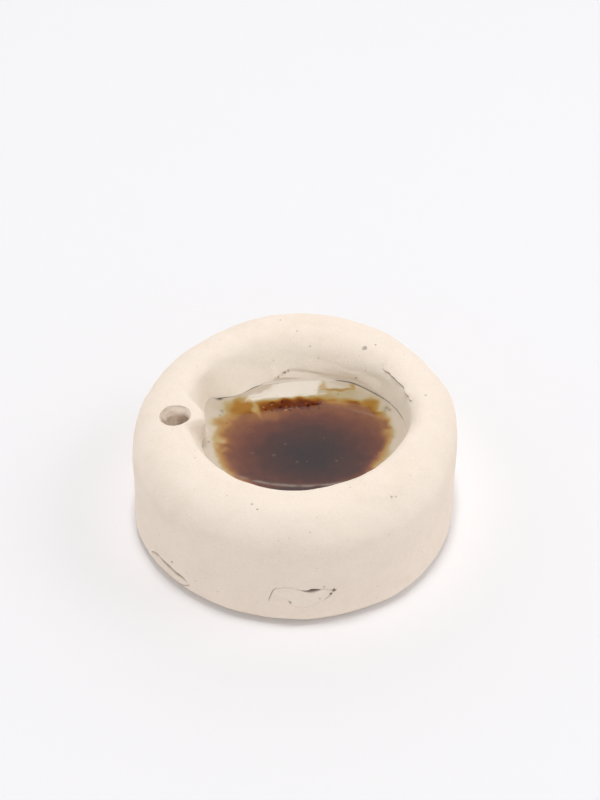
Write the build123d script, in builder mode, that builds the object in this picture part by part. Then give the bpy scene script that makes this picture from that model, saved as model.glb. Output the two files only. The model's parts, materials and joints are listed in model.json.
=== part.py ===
from build123d import *
import os
from math import cos, hypot, radians, sin, sqrt, tan

# Incense stick holder: a thick hand-formed drum of unglazed stoneware, with a dish sunk in its top,
# a pool of two glazes melted in the dish, a blind hole for the stick in the rim, and two scraps of clay
# pressed into the outer wall.
# Millimetres. The origin is the middle of the foot, +Z is up, -Y is the front, the stick hole is at -X.

# Drum of clay: an oval in plan, which widens towards its foot
drum_width = 52.6  # across the oval, at the rim
drum_length = 55.4  # along the oval, at the rim
drum_turn = 78.0  # from +X to the oval's long axis, degrees
drum_height = 21.0
foot_flare = 0.55  # from the rim's outline out to the foot's
rim_round = 5.7  # rounding of the rim's outer edge
foot_round = 2.2  # rounding of the wall under itself at the foot

# Dish sunk in the top of the drum
rim_width = 9.2  # from the oval's narrow side to the mouth of a centred dish
dish_side_offset = 1.1  # from the drum's axis to the dish's axis, towards +X
dish_front_offset = 0.5  # from the drum's axis to the dish's axis, towards -Y
dish_draft = 8.0  # lean of the dish's wall, degrees
dish_floor_round = 6.0  # between the dish's wall and its floor
lip_round = 2.2  # rounding of the dish's mouth

# Blind hole that holds the stick
stick_hole_diameter = 4.4
stick_hole_depth = 12.0
stick_hole_mouth = 5.0  # across the worn mouth of the hole
stick_hole_mouth_angle = 70.0  # cone of the worn mouth, degrees
stick_hole_inset = 6.8  # from the outer wall to the hole's axis
stick_hole_angle = 184.5  # round the drum from +X, degrees

# Pool of glaze in the dish: level in the middle, then a climb to the wall
glaze_drop = 7.7  # from the rim down to the middle of the pool
glaze_climb = 1.3  # from the middle of the pool up to its edge at the wall
glaze_climb_width = 9.0  # ring over which the glaze climbs
amber_depth = 2.2  # of the amber lens at its middle
celadon_under_amber = 1.1  # pale glaze between the amber lens and the clay
celadon_border = 4.2  # pale ring between the amber lens and the wall

# Seam round each scrap of clay that is pressed into the wall
seam_gap = 0.2

# Scrap pressed into the front of the wall: a leaf on a tilted chord
front_scrap_angle = -88.3  # round the drum from +X, degrees
front_scrap_height = 6.1  # from the foot to the middle of the chord
front_scrap_tilt = 9.6  # of the chord, degrees
front_scrap_length = 10.1
front_scrap_depth = 1.5
front_scrap_crown = 2.7  # highest point over the chord
front_scrap_crown_place = 3.3  # from the left end to the crown
front_scrap_shoulder = 2.5  # height of the left end's edge over the chord
front_scrap_lean = 1.4  # lean of the left end's edge
front_scrap_waist = 1.2  # dip of the upper edge, over the chord
front_scrap_waist_place = 2.6  # from the right end to the dip
front_scrap_belly = 2.0  # lowest point under the chord

# Strip pressed into the wall at the foot, on the front left
left_strip_start = -148.5  # round the drum from +X, degrees
left_strip_end = -130.0
left_strip_base = 1.1  # from the foot to the strip's lower edge
left_strip_height = 2.0
left_strip_depth = 1.1

# Working margin by which a cutting shape passes the surface that it cuts
overcut = 2.0
# Largest share of the rim's narrowest top that its two roundings may take together
rounding_share = 0.97

short_radius = drum_width / 2
long_radius = drum_length / 2


# Radius of the oval drum at an angle round it and a height over its foot
def wall_radius(angle, height):
    turn = radians(angle - drum_turn)
    flare = foot_flare * (1 - height / drum_height)
    return 1 / hypot(cos(turn) / (long_radius + flare), sin(turn) / (short_radius + flare))


# The two roundings of the rim are held within its narrowest top, on the +X side
narrow_rim = rim_width - dish_side_offset
rounding_fit = min(1.0, rounding_share * narrow_rim / (rim_round + lip_round))
rim_rounding = rim_round * rounding_fit
lip_rounding = lip_round * rounding_fit

# Levels and radii of the dish and the pool
glaze_level = drum_height - glaze_drop
dish_depth = glaze_drop + amber_depth + celadon_under_amber
dish_floor = drum_height - dish_depth
dish_mouth_radius = short_radius - rim_width
dish_floor_radius = dish_mouth_radius - dish_depth * tan(radians(dish_draft))
glaze_radius = dish_mouth_radius - (glaze_drop - glaze_climb) * tan(radians(dish_draft))
amber_radius = glaze_radius - celadon_border
climb_start = glaze_radius - glaze_climb_width
climb_radius = (glaze_climb_width**2 + glaze_climb**2) / (2 * glaze_climb)
# The climbing curve is a quarter circle that passes through the wall
climb_end = climb_start + climb_radius
climb_top = glaze_level + climb_radius
# Level of the amber's edge, on the climbing curve
amber_climb_width = max(0.0, amber_radius - climb_start)
amber_edge_level = climb_top - sqrt(climb_radius**2 - amber_climb_width**2)

dish_plane = Plane(origin=(dish_side_offset, -dish_front_offset, 0), x_dir=(1, 0, 0), z_dir=(0, -1, 0))
dish_axis = Axis(dish_plane.origin, (0, 0, 1))

# Place of the stick hole
stick_hole_reach = wall_radius(stick_hole_angle, drum_height) - stick_hole_inset
stick_hole_x = stick_hole_reach * cos(radians(stick_hole_angle))
stick_hole_y = stick_hole_reach * sin(radians(stick_hole_angle))


# Directions at an angle round the drum: straight out of the wall, and along the wall
def outward(angle):
    return Vector(cos(radians(angle)), sin(radians(angle)), 0)


def along_wall(angle):
    return Vector(-sin(radians(angle)), cos(radians(angle)), 0)


# Seat of the front scrap: an upright plane behind the wall, facing out, turned with the chord
front_scrap_out = outward(front_scrap_angle)
front_scrap_chord = (
    along_wall(front_scrap_angle) * cos(radians(front_scrap_tilt))
    + Vector(0, 0, 1) * sin(radians(front_scrap_tilt))
)
front_scrap_wall = wall_radius(front_scrap_angle, front_scrap_height)
front_scrap_seat = Plane(
    origin=front_scrap_out * (front_scrap_wall - front_scrap_depth) + Vector(0, 0, front_scrap_height),
    x_dir=front_scrap_chord,
    z_dir=front_scrap_out,
)
front_scrap_reach = front_scrap_depth + overcut


# Edges of the front scrap on its seat: a leaning left edge, a waved upper edge and a bowed lower edge.
# The seat's own outline is the same, with the seam's width added all round.
def front_scrap_edges(seam):
    left = (-front_scrap_length / 2 - seam, 0)
    right = (front_scrap_length / 2 + seam, 0)
    left_top = (left[0] + front_scrap_lean, front_scrap_shoulder + seam)
    crown = (left[0] + front_scrap_crown_place, front_scrap_crown + seam)
    waist = (right[0] - front_scrap_waist_place, front_scrap_waist + seam)
    belly = (0, -front_scrap_belly - seam)
    with BuildLine() as outline:
        Line(left, left_top)
        Spline(left_top, crown, waist, right)
        ThreePointArc(right, belly, left)
    return outline.edges()


# Sizes of the left strip and its seat, as sections swept round the drum
left_strip_arc = left_strip_end - left_strip_start
left_strip_wall = min(wall_radius(end, left_strip_base) for end in (left_strip_start, left_strip_end))
left_strip_seat_radius = left_strip_wall - left_strip_depth
left_strip_reach = left_strip_depth + overcut
# The seam's width as an angle round the wall
seam_angle = seam_gap / radians(1) / left_strip_wall


# Upright plane through the drum's axis, with its x direction out of the wall
def section_plane(angle):
    return Plane(origin=(0, 0, 0), x_dir=outward(angle), z_dir=-along_wall(angle))


os.makedirs("parts", exist_ok=True)

# Plain oval drum with its rounded rim and foot, which the clay pieces share
with BuildPart() as drum_blank:
    with BuildSketch():
        Ellipse(long_radius + foot_flare, short_radius + foot_flare, rotation=drum_turn)
    with BuildSketch(Plane.XY.offset(drum_height)):
        Ellipse(long_radius, short_radius, rotation=drum_turn)
    loft(ruled=True)
    fillet(drum_blank.edges().group_by(Axis.Z)[-1], rim_rounding)
    fillet(drum_blank.edges().group_by(Axis.Z)[0], foot_round)

# Hollow of the dish, from its floor up to the rim
with BuildPart() as dish_hollow:
    with BuildSketch(dish_plane) as dish_section:
        with BuildLine():
            Polyline(
                (0, drum_height),
                (dish_mouth_radius, drum_height),
                (dish_floor_radius, dish_floor),
                (0, dish_floor),
                close=True,
            )
        make_face()
        fillet(dish_section.vertices().group_by(Axis.Y)[0].sort_by(Axis.X)[-1], dish_floor_round)
    revolve(axis=dish_axis)

# All that lies under the surface of the pool
with BuildPart() as pool_below:
    with BuildSketch(dish_plane):
        with BuildLine():
            TangentArc((climb_start, glaze_level), (climb_end, climb_top), tangent=(1, 0))
            Polyline(
                (climb_end, climb_top),
                (climb_end, 0),
                (0, 0),
                (0, glaze_level),
                (climb_start, glaze_level),
            )
        make_face()
    revolve(axis=dish_axis)

# All that lies over the round underside of the amber lens
with BuildPart() as lens_above:
    with BuildSketch(dish_plane):
        with BuildLine():
            TangentArc((0, glaze_level - amber_depth), (amber_radius, amber_edge_level), tangent=(1, 0))
            Polyline(
                (amber_radius, amber_edge_level),
                (amber_radius, drum_height),
                (0, drum_height),
                (0, glaze_level - amber_depth),
            )
        make_face()
    revolve(axis=dish_axis)

# Lens of dark amber glaze, with the pool's surface on top
with BuildPart() as amber_glaze:
    add(pool_below.part)
    add(lens_above.part, mode=Mode.INTERSECT)

# Pale celadon glaze that lines the dish, carries the amber lens and climbs the wall
with BuildPart() as celadon_glaze:
    add(pool_below.part)
    add(dish_hollow.part, mode=Mode.INTERSECT)
    add(lens_above.part, mode=Mode.SUBTRACT)

# Scrap of clay in the front of the wall
with BuildPart() as front_clay_scrap:
    with BuildSketch(front_scrap_seat):
        make_face(front_scrap_edges(0))
    extrude(amount=front_scrap_reach)
    add(drum_blank.part, mode=Mode.INTERSECT)

# Strip of clay along the foot on the front left
with BuildPart() as left_clay_strip:
    with BuildSketch(section_plane(left_strip_start)):
        with Locations((left_strip_seat_radius, left_strip_base)):
            Rectangle(left_strip_reach, left_strip_height, align=(Align.MIN, Align.MIN))
    revolve(axis=Axis.Z, revolution_arc=left_strip_arc)
    add(drum_blank.part, mode=Mode.INTERSECT)

# Clay body: the drum with its dish, its stick hole and the seats of the two scraps
with BuildPart() as clay_body:
    add(drum_blank.part)
    add(dish_hollow.part, mode=Mode.SUBTRACT)
    fillet(clay_body.edges().group_by(Axis.Z)[-1].sort_by(SortBy.LENGTH)[0], lip_rounding)
    with Locations((stick_hole_x, stick_hole_y, drum_height)):
        CounterSinkHole(
            stick_hole_diameter / 2,
            stick_hole_mouth / 2,
            stick_hole_depth,
            stick_hole_mouth_angle,
        )
    with BuildSketch(front_scrap_seat):
        make_face(front_scrap_edges(seam_gap))
    extrude(amount=front_scrap_reach, mode=Mode.SUBTRACT)
    with BuildSketch(section_plane(left_strip_start - seam_angle)):
        with Locations((left_strip_seat_radius, left_strip_base - seam_gap)):
            Rectangle(left_strip_reach, left_strip_height + 2 * seam_gap, align=(Align.MIN, Align.MIN))
    revolve(axis=Axis.Z, revolution_arc=left_strip_arc + 2 * seam_angle, mode=Mode.SUBTRACT)

clay_body.part.label = "clay_body"
celadon_glaze.part.label = "celadon_glaze"
amber_glaze.part.label = "amber_glaze"
front_clay_scrap.part.label = "front_clay_scrap"
left_clay_strip.part.label = "left_clay_strip"

export_step(clay_body.part, "parts/clay_body.step")
export_step(celadon_glaze.part, "parts/celadon_glaze.step")
export_step(amber_glaze.part, "parts/amber_glaze.step")
export_step(front_clay_scrap.part, "parts/front_clay_scrap.step")
export_step(left_clay_strip.part, "parts/left_clay_strip.step")
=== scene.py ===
import json
from math import atan2, cos, degrees, hypot, pi, radians, sin

import bpy
import numpy as np
from mathutils import Matrix, Vector


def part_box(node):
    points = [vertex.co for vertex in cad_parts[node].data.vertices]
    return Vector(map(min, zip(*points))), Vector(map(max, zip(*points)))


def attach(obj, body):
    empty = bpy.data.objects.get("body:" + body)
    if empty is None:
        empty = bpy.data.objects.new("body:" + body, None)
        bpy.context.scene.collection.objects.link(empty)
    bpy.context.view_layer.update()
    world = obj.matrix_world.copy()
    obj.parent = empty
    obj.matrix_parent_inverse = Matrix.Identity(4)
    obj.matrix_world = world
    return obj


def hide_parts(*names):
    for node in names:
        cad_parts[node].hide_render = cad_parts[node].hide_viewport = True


# Incense stick holder: a hand-formed drum of unglazed stoneware, with a pool of amber and celadon glaze
# in the dish of its top, a hole for the stick in the rim and two scraps of clay pressed into its wall.
# Shapes are worked out in millimetres and degrees in the part's own frame, and made in metres.
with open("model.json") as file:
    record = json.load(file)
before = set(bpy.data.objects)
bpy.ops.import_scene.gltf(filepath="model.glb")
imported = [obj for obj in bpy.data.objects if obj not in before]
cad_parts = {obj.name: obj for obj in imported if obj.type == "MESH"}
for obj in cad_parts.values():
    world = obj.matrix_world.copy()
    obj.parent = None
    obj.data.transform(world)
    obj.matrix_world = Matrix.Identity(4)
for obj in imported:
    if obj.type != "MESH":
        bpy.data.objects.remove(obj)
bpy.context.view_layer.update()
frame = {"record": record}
MM = 0.001


def box_mm(node):
    low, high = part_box(node)
    return np.array(low) / MM, np.array(high) / MM


# Sizes and places taken from the frame
clay_low, clay_high = box_mm("clay_body")
celadon_low, celadon_high = box_mm("celadon_glaze")
hole_mount = next(mount for mount in frame["record"]["mounts"] if mount["name"] == "stick_hole")

RIM_HEIGHT = clay_high[2]
DISH_FLOOR = celadon_low[2]
HOLE_CENTRE = np.array(hole_mount["pos_m"][:2]) / MM
HOLE_ANGLE = degrees(atan2(HOLE_CENTRE[1], HOLE_CENTRE[0])) % 360
HOLE_RADIUS = hole_mount["dims"]["r_mm"]
HOLE_DEPTH = hole_mount["dims"]["length_mm"]

# Unevenness of the drum: waves of its plan as (count, cosine part, sine part), shares of its radius
PLAN_WAVES = ((1, 0.0016, -0.006), (2, -0.0248, 0.0109), (3, -0.0109, -0.0104))
# Swelling of the wall at the back right. It and all other humps are given as (height, middle angle, width).
SIDE_BULGE = (1.14, 15.0, 15.0)
FOOT_FLARE = 0.0212
FOOT_ROUND = 2.2
RIM_ROUND = 5.7
# Mean radius at the rim: the solid is widest just over its rounded foot
DRUM_RADIUS = np.mean(clay_high - clay_low, where=(True, True, False)) / 2
DRUM_RADIUS /= 1 + FOOT_FLARE * (1 - FOOT_ROUND / RIM_HEIGHT)
# Lumps of the hand-formed clay. They and all other random waves are given as (wavelength, height, seed).
CLAY_LUMPS = ((16.0, 0.10, 11), (7.0, 0.035, 21), (3.0, 0.018, 31))
LUMP_FADE = 2.5  # height over the foot within which the lumps fade out
# Columns of the body's mesh as (first angle, last angle, step), closer together at the two scraps
COLUMN_SPANS = ((-152, -126, 0.3), (-126, -102, 0.75), (-102, -68, 0.25), (-68, 208, 0.75))
BODY_COLUMNS = np.concatenate([np.arange(*span) for span in COLUMN_SPANS])
# Rows of that mesh: under the foot as shares of its radius, heights up the wall, counts and shares beyond
FOOT_SHARES = (0.3, 0.6, 0.85)
FOOT_ROWS = (0.0, 0.03, 0.12, 0.25, 0.4)
SCRAP_ROW = 0.17
SCRAP_ROWS = np.arange(0.6, 9.0, SCRAP_ROW)
UPPER_ROWS = np.arange(9.2, RIM_HEIGHT - RIM_ROUND, 0.42)
RIM_ROWS = 25
LEVEL_SHARES = np.linspace(0, 1, 6)[1:-1]
LIP_ROWS = 17
DISH_ROWS = 22
SHARP_ANGLE = 50.0  # between faces whose edge isn't shaded smooth

# Dish: its centre, and sizes at even steps round it, from +X
DISH_CENTRE = (celadon_low[:2] + celadon_high[:2]) / 2
LIP_WALL = (17.7, 17.8, 16.6, 16.5, 18.2, 19.4, 18.6, 18.2, 17.8, 17.05, 16.45, 16.8)
LIP_ROUND = (2.4, 2.3, 4.0, 4.5, 3.4, 2.0, 1.6, 1.9, 2.2, 2.2, 2.2, 2.2)
POOL_WALL = (
    17.2, 17.6, 17.4, 16.9, 16.6, 15.7, 15.1, 15.3, 15.6, 16.1, 18.3, 17.2,
    16.8, 16.2, 15.7, 15.7, 15.7, 15.7, 15.7, 15.7, 15.8, 16.1, 16.4, 16.8,
)
LIP_PINCH = 2.6  # how far the lip is pushed into the dish by the stick hole
LIP_PINCH_SPAN = (165.0, 179.0, 184.5, 190.5)  # angles where that push starts, is full, and ends
POOL_PINCH = (1.0, 173.0, 6.0)  # the same at the glass, beside it
WATERLINE = 14.5  # height at which the glass meets the wall
FILM_BOTTOM = 13.0  # lowest height of the upright wall, under the glass
FLOOR_TURNS = (20, 40, 60, 75, 90)  # rings of the rounding from there to the dish's floor
FLOOR_ROUND = 0.3  # the rounding's share of the radius
FLOOR_MIDDLE = 0.4  # share of the floor's radius at its last ring
FILM_ROW = 7  # row of the lip's rounding from which a pale coat of glaze covers the dish, lightening it partly as painted light
FILM_THIN = 0.5  # strength of that coat; the extra at the right is painted light on the shaded inner wall there
PAINTED_LIGHT_RIGHT = (0.5, 15.0, 45.0)

# Step in the dish's back wall over the glass, an uneven arch as (angle, height)
RIDGE_LINE = (
    (38, 14.5), (47, 15.1), (56, 15.55), (66, 15.45), (76, 15.6),
    (86, 15.95), (96, 16.1), (101, 15.55), (106, 14.95), (112, 14.5),
)
RIDGE_STEP = 0.18
RIDGE_SOFT = 0.1  # half the height over which it steps
RIDGE_START = 0.3  # height over the glass from which the step is full
RIDGE_FADE = (0.6, 2.5)  # heights over it between which the step runs out

# Flap of clay that hangs over the dish's wall at the back right, with a ragged edge
FLAP_START = 9.5
FLAP_END = 42.5
FLAP_REACH = 0.42
FLAP_SLIT = 0.3  # height of the open slit under the flap
FLAP_CUT = 0.7  # depth of the slit
FLAP_TURN = 31.0  # turn of the lip's rounding at which the flap ends
FLAP_TAPER = 4.0  # degrees over which its ends run out
FLAP_RAGS = ((5.0, 0.3, 41), (12.0, 0.6, 42))  # waves round its edge, in degrees
# Rows from the flap's edge into the slit and out again, as (depth, drop)
FLAP_ROWS = ((FLAP_CUT, 0.02), (FLAP_CUT, FLAP_SLIT), (0.05, FLAP_SLIT + 0.03))

# Hole: its mouth is worn wider by waves as (count, height, phase), and most at one side
MOUTH_WEAR = 0.22
MOUTH_WAVES = ((2, 0.07, -20), (3, 0.05, 50))
MOUTH_SIDE = (0.25, 48.0, 24.0)
MOUTH_DEPTH = 1.3  # depth over which the mouth turns into the bore
LEVEL_DEPTH = 5.0  # depth from which the bore's rings are level
# Torn clay in the bore: a crest that winds down its far side, a hollow under the worn side, and a lean
BORE_ROOM = 0.05
BORE_DENTS = (2.4, 0.08, 51)
BORE_GRAIN = (0.9, 0.04, 52)
BORE_CREST = (0.5, 68.0, 13.0)
CREST_WIND = 9.0  # degrees a millimetre
CREST_DEPTHS = (0.2, 1.2)
BORE_HOLLOW = (0.7, 48.0, 22.0)
HOLLOW_DEPTHS = (1.3, 2.8)
BORE_LEAN = 0.22
LEAN_DEPTH = 4.5
# Window in the rim's mesh for the hole: its half angle, its room round the bore, and its drop under the rim
WINDOW_ANGLE = 9.4
WINDOW_ROOM = 0.9
WINDOW_DROP = 2.0
MOUTH_SHARES = (0.25, 0.5, 0.72, 0.88, 1.0)  # rows from the window to the mouth
BORE_ROWS = (0.05, 0.15, 0.3, 0.5, *np.arange(0.75, 5.6, 0.25), 6.5, 8, 10, HOLE_DEPTH)

# Glass in the dish: a shallow bowl that steepens towards the wall
BOWL_WALL = (17.4, 17.4, 16.8, 15.3, 15.9, 18.0, 17.0, 15.9, 15.9, 15.9, 16.0, 16.6)
POOL_RISE = 1.2
CURL_START = 0.955  # share of the radius at which the edge of the glass curls up
CURL_RISE = 0.22
SWELL_HEIGHT = 0.3  # rise of the glass along the front of the pool
SWELL_WIDTH = 0.42
SWELL_PLACE = -9.75  # from the dish's centre
SWELL_BEND = 0.017
SWELL_REACH = (8.0, 12.5)  # to the sides, where the swell dies out
REFLECTION_WIDTH = 0.4  # painted reflection, a pale line along the swell
REFLECTION_PLACE = 0.25
REFLECTION_LEVEL = 0.8
REFLECTION_WAVER = (3.0, 0.35, 76)
NICK_STRENGTH = 0.3
SPOT_STRENGTH = 0.6
# Gaps between the glass and the wall, as (first angle, rise, last angle, fall, strength)
OPEN_GAPS = ((112, 12, 144, 3, 1.0), (12, 8, 66, 6, 0.7))
GLASS_INSET = 0.2  # depth of the glass in the wall elsewhere
GAP_STEP = 0.3  # step back of its edge at a gap
GAP_LINE = (-0.22, -0.1)  # where a gap's painted shade begins and is full, from the edge
GAP_BLOT = (1.0, 144.0, 1.5)  # painted shade: a dark blot at the end of the left gap
BLOT_LINE = (-0.7, -0.2)
# Columns of the glass's mesh, and its rings as shares: of the amber's lens, its top, and the pale border
GLASS_COLUMNS = np.arange(0, 360, 1.0)
LENS_SHARES = (0.15, 0.4, 0.65, 0.85, 0.95)
AMBER_SHARES = np.linspace(1, 0.01, 64)
BORDER_SHARES = (1, 0.985, 0.97, 0.95, *np.linspace(0.92, 0, 24))
LENS_DEPTH = 2.4
LENS_GAP = 0.02  # between the amber and the celadon under it
FLOOR_GAP = 0.1  # between the celadon and the dish's floor
CELADON_WIDTH = 0.995  # the celadon's share of the radius under its edge

# Scraps of clay pressed into the wall, and their seats
SEAT_DEPTH = 1.4
SEAT_GAP = 0.1  # between a scrap's back and its seat
SCRAP_GRID = (110, 34)  # columns and rows of a scrap's mesh
SCRAP_PROUD = 0.12  # how far the front one stands out
SCRAP_ROLL = 0.3  # width of a scrap's rolled border
ROLL_SINK = 0.05  # how far that border sinks, and more by its open seam
SEAM_SINK = 0.5
SEAM_SHADE = 2.5  # painted shade of the border by its open seam, up to a most
MOST_SHADE = 0.6
OUTLINE_POINTS = 120  # along each edge of a seat
SCRAP_WAVER = (2.8, 0.05, 61)
EDGE_SHADE = 0.13  # painted shade along the edges of the scraps
# Edges of the scraps from left to right as (distance along the wall, height, open seam)
SCRAP_TOP = (
    (-4.85, 5.2, 0.06), (-4.05, 7.6, 0.1), (-3.2, 8.15, 0.0), (-1.8, 8.35, 0.02),
    (-0.6, 8.0, 0.0), (0.75, 7.4, 0.3), (1.7, 7.25, 0.75), (2.6, 7.5, 0.5),
    (3.35, 7.8, 0.05), (4.5, 7.55, 0.0), (5.05, 6.95, 0.06),
)
SCRAP_BOTTOM = (
    (-4.85, 5.15, 0.06), (-3.3, 5.25, 0.0), (-1.35, 4.55, 0.03), (0.2, 3.95, 0.0),
    (1.9, 4.3, 0.0), (3.3, 5.15, 0.05), (4.35, 5.95, 0.12), (5.05, 6.85, 0.06),
)
STRIP_TOP = (
    (-4.2, 2.5, 0.04), (-3.3, 3.2, 0.2), (-1.6, 3.55, 0.45), (0.4, 3.35, 0.6),
    (2.2, 3.25, 0.5), (3.8, 3.25, 0.5), (5.3, 2.9, 0.05),
)
STRIP_BOTTOM = (
    (-4.2, 2.4, 0.04), (-3.0, 1.5, 0.0), (0.0, 1.05, 0.0), (2.6, 1.2, 0.0),
    (3.9, 1.6, 0.12), (5.3, 2.8, 0.05),
)
# The two scraps as (middle angle round the drum, edges)
SCRAP = (-88.3, SCRAP_BOTTOM, SCRAP_TOP)
STRIP = (-139.0, STRIP_BOTTOM, STRIP_TOP)

# Colour of the glaze by how deep the amber is, as (depth, colour in linear light)
GLAZE_SCALE = (
    (0.0, (0.61, 0.515, 0.41)), (0.1, (0.54, 0.45, 0.29)), (0.2, (0.48, 0.33, 0.14)),
    (0.4, (0.41, 0.205, 0.045)), (0.7, (0.29, 0.11, 0.024)), (1.0, (0.215, 0.066, 0.018)),
    (1.5, (0.125, 0.026, 0.008)), (2.2, (0.055, 0.010, 0.005)), (3.2, (0.018, 0.005, 0.005)),
)
# Radii every 30 degrees at which the glaze turns amber, and then brown
AMBER_EDGE = (15.6, 16.0, 14.0, 11.6, 12.6, 15.4, 15.4, 14.7, 13.8, 13.0, 12.8, 13.6)
AMBER_BROWN = (13.4, 14.0, 11.2, 10.0, 11.0, 12.9, 13.5, 13.0, 12.8, 12.4, 11.8, 12.1)
AMBER_FRINGE = 0.42  # amber depth between those two radii
FRINGE_START = 0.2  # past the brown, where that depth starts to run out
BROWN_BLEND = (-0.9, 0.7)  # where the brown turns into the fringe
AMBER_BORDER = 1.0  # least width of the celadon round the amber
AMBER_SHALLOW = 0.3  # amber depth far from its darkest place
AMBER_CORE = 2.9  # depth added at the darkest place
CORE_PLACE = np.array((1.3, -2.5))  # the darkest place, from the dish's centre
CORE_WIDTH = np.array((12.2, 10.2))
# Tongues and gaps of the amber as (place from the dish's centre, half sizes, turn in degrees, amber depth)
AMBER_MARKS = (
    ((-6.0, 7.3), (3.2, 1.5), 10, 0.75), ((-1.6, 9.8), (5.4, 1.2), 7, 1.5),
    ((-10.5, 9.0), (2.4, 1.6), 20, 0.5), ((-7.9, 8.7), (0.5, 2.1), 20, 0.15),
    ((3.6, 13.6), (0.5, 0.9), 25, 0.3), ((4.6, 11.9), (1.1, 0.7), 0, 0.32),
    ((6.6, 12.1), (3.6, 1.4), 0, 0.14), ((6.0, 12.9), (2.6, 0.28), 0, 0.33),
    ((8.6, 13.6), (0.4, 0.6), 0, 0.3), ((9.9, 8.7), (2.8, 0.8), -32, 0.95),
    ((11.6, 9.6), (1.5, 1.3), -40, 0.42), ((13.4, 8.0), (0.7, 1.0), -40, 0.06),
    ((13.6, 4.6), (0.9, 1.0), 0, 0.9), ((-4.0, -8.9), (6.2, 2.4), -19, 2.0),
    ((3.5, -10.8), (5.0, 1.4), 15, 1.8), ((-1.5, -11.2), (6.5, 0.9), 4, 2.6),
    ((-13.4, 4.6), (1.6, 1.0), -10, 0.42), ((-13.4, 0.6), (1.5, 0.8), -12, 0.16),
    ((-13.2, -1.7), (1.2, 0.7), 10, 0.45),
)
MARK_STRENGTH = 0.92
# Waves of the amber's edge, and of its marks along X and Y
AMBER_WAVER = ((5.0, 0.2, 71), (1.6, 0.06, 73))
MARK_WAVER = ((2.6, 0.2, 74), (2.6, 0.2, 75))
# Flecks at the back of the amber: ends of their line, from the dish's centre, and (number, amber depth)
FLECK_LINE = np.array(((-6.6, 8.7), (3.8, 9.6)))
FLECKS = ((24, 2.4), (9, 0.15))
FLECK_SCATTER = 0.55
FLECK_HALF_SIZES = (0.14, 0.28)  # least and most
FLECK_SEED = 81
# Dull spots and pale nicks in the glass as (place from the dish's centre, radius)
GLASS_SPOTS = (
    ((14.1, 8.1), 0.3), ((14.6, 7.6), 0.28), ((13.8, 7.5), 0.22), ((-13.5, 7.6), 0.25),
    ((-13.8, 6.6), 0.22), ((-15.5, -0.1), 0.22),
)
GLASS_NICKS = (
    ((-8.3, -2.0), 0.22), ((-4.7, -2.4), 0.26), ((-0.9, -4.0), 0.22), ((5.6, -3.8), 0.22),
    ((-2.9, 0.3), 0.2),
)

# Pits and dark dots of the clay as (point, radius, darkness)
CLAY_PITS = (
    ((11.4, 15.4, 20.6), 0.5, 0.55), ((13.2, 15.9, 21.0), 0.24, 0.45),
    ((2.6, 17.1, 19.6), 0.24, 0.3), ((-4.1, 16.0, 17.5), 0.24, 0.4),
    ((-3.0, 14.3, 15.0), 0.3, 0.45), ((-1.9, 14.8, 15.6), 0.34, 0.5),
    ((-1.2, 15.0, 15.9), 0.28, 0.45), ((15.7, 8.7, 17.5), 0.26, 0.4),
    ((-16.4, 9.5, 17.5), 0.26, 0.4), ((21.2, 3.3, 21.0), 0.26, 0.4),
    ((15.0, -19.7, 20.1), 0.28, 0.45), ((15.7, -19.5, 19.9), 0.22, 0.4),
    ((-6.8, -22.0, 20.9), 0.26, 0.45), ((-5.9, -22.9, 20.7), 0.26, 0.45),
    ((6.2, -27.3, 7.3), 0.45, 0.9), ((5.7, -27.4, 6.5), 0.32, 0.8),
    ((4.7, -27.7, 8.3), 0.22, 0.5), ((-0.8, -28.0, 5.3), 0.28, 0.55),
    ((-19.9, -19.4, 5.3), 0.26, 0.6),
)

# Colours, in linear light
CLAY = (0.915, 0.795, 0.683)
CLAY_SPECK = (0.36, 0.27, 0.19)
# Pale coat of glaze on the dish's wall, lighter than the clay: partly painted light for the shaded inner
# walls
FILM_AND_LIGHT = (0.99, 0.915, 0.795)
PAINTED_SEAM_SHADE = (0.13, 0.09, 0.06)  # painted shade: multiplies the clay's colour deep in a seam, a seat or the slit under the flap
PIT = (0.12, 0.09, 0.065)
# Grey of the painted shade along the glass's open gaps, and of the glass's own dull spots
GAP_SHADE_AND_SPOTS_GREY = (0.13, 0.1, 0.08)
# Colour of the painted reflection on the front swell, and of the glass's pale nicks
PALE_REFLECTION_AND_NICKS = (0.24, 0.18, 0.155)
BLACK_FLECK = (0.02, 0.012, 0.008)
BUBBLE = (0.5, 0.4, 0.3)
STAGE = (0.905, 0.895, 0.91)
STAGE_HALF = 3.0  # half the width of the stage's floor, in metres
# Mottling of the clay as (share of the noise, factors of its colour)
CLAY_MOTTLE = ((0.3, (0.965, 0.96, 0.945)), (0.52, (1.0, 1.0, 1.0)), (0.72, (1.015, 1.02, 1.03)))
# Specks as (cells in a millimetre, size, share of the cells that have one, strength, colour)
CLAY_SPECKS = (
    (0.62, 0.14, 0.4, 0.3, CLAY_SPECK),
    (1.5, 0.08, 0.3, 0.25, CLAY_SPECK),
    (0.3, 0.2, 0.3, 0.45, CLAY_SPECK),
)
AMBER_SPECKS = ((1.3, 0.11, 0.25, 0.7, BLACK_FLECK), (0.7, 0.09, 0.3, 0.25, BUBBLE))
CELADON_SPECKS = ((0.9, 0.1, 0.2, 0.45, CLAY_SPECK), (1.6, 0.06, 0.2, 0.4, BLACK_FLECK))
PIT_STIR = 0.5  # how far the edges of the pits wander

# Studio: the backdrop's brightness and its change towards the back, and its brightness by elevation
BACKDROP_LEVEL = 0.945
BACKDROP_LEAN = 0.155
BACKDROP_RISE = ((3.0, 0.58), (14.0, 1.0), (49.7, 1.0), (50.7, 0.0))
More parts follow.
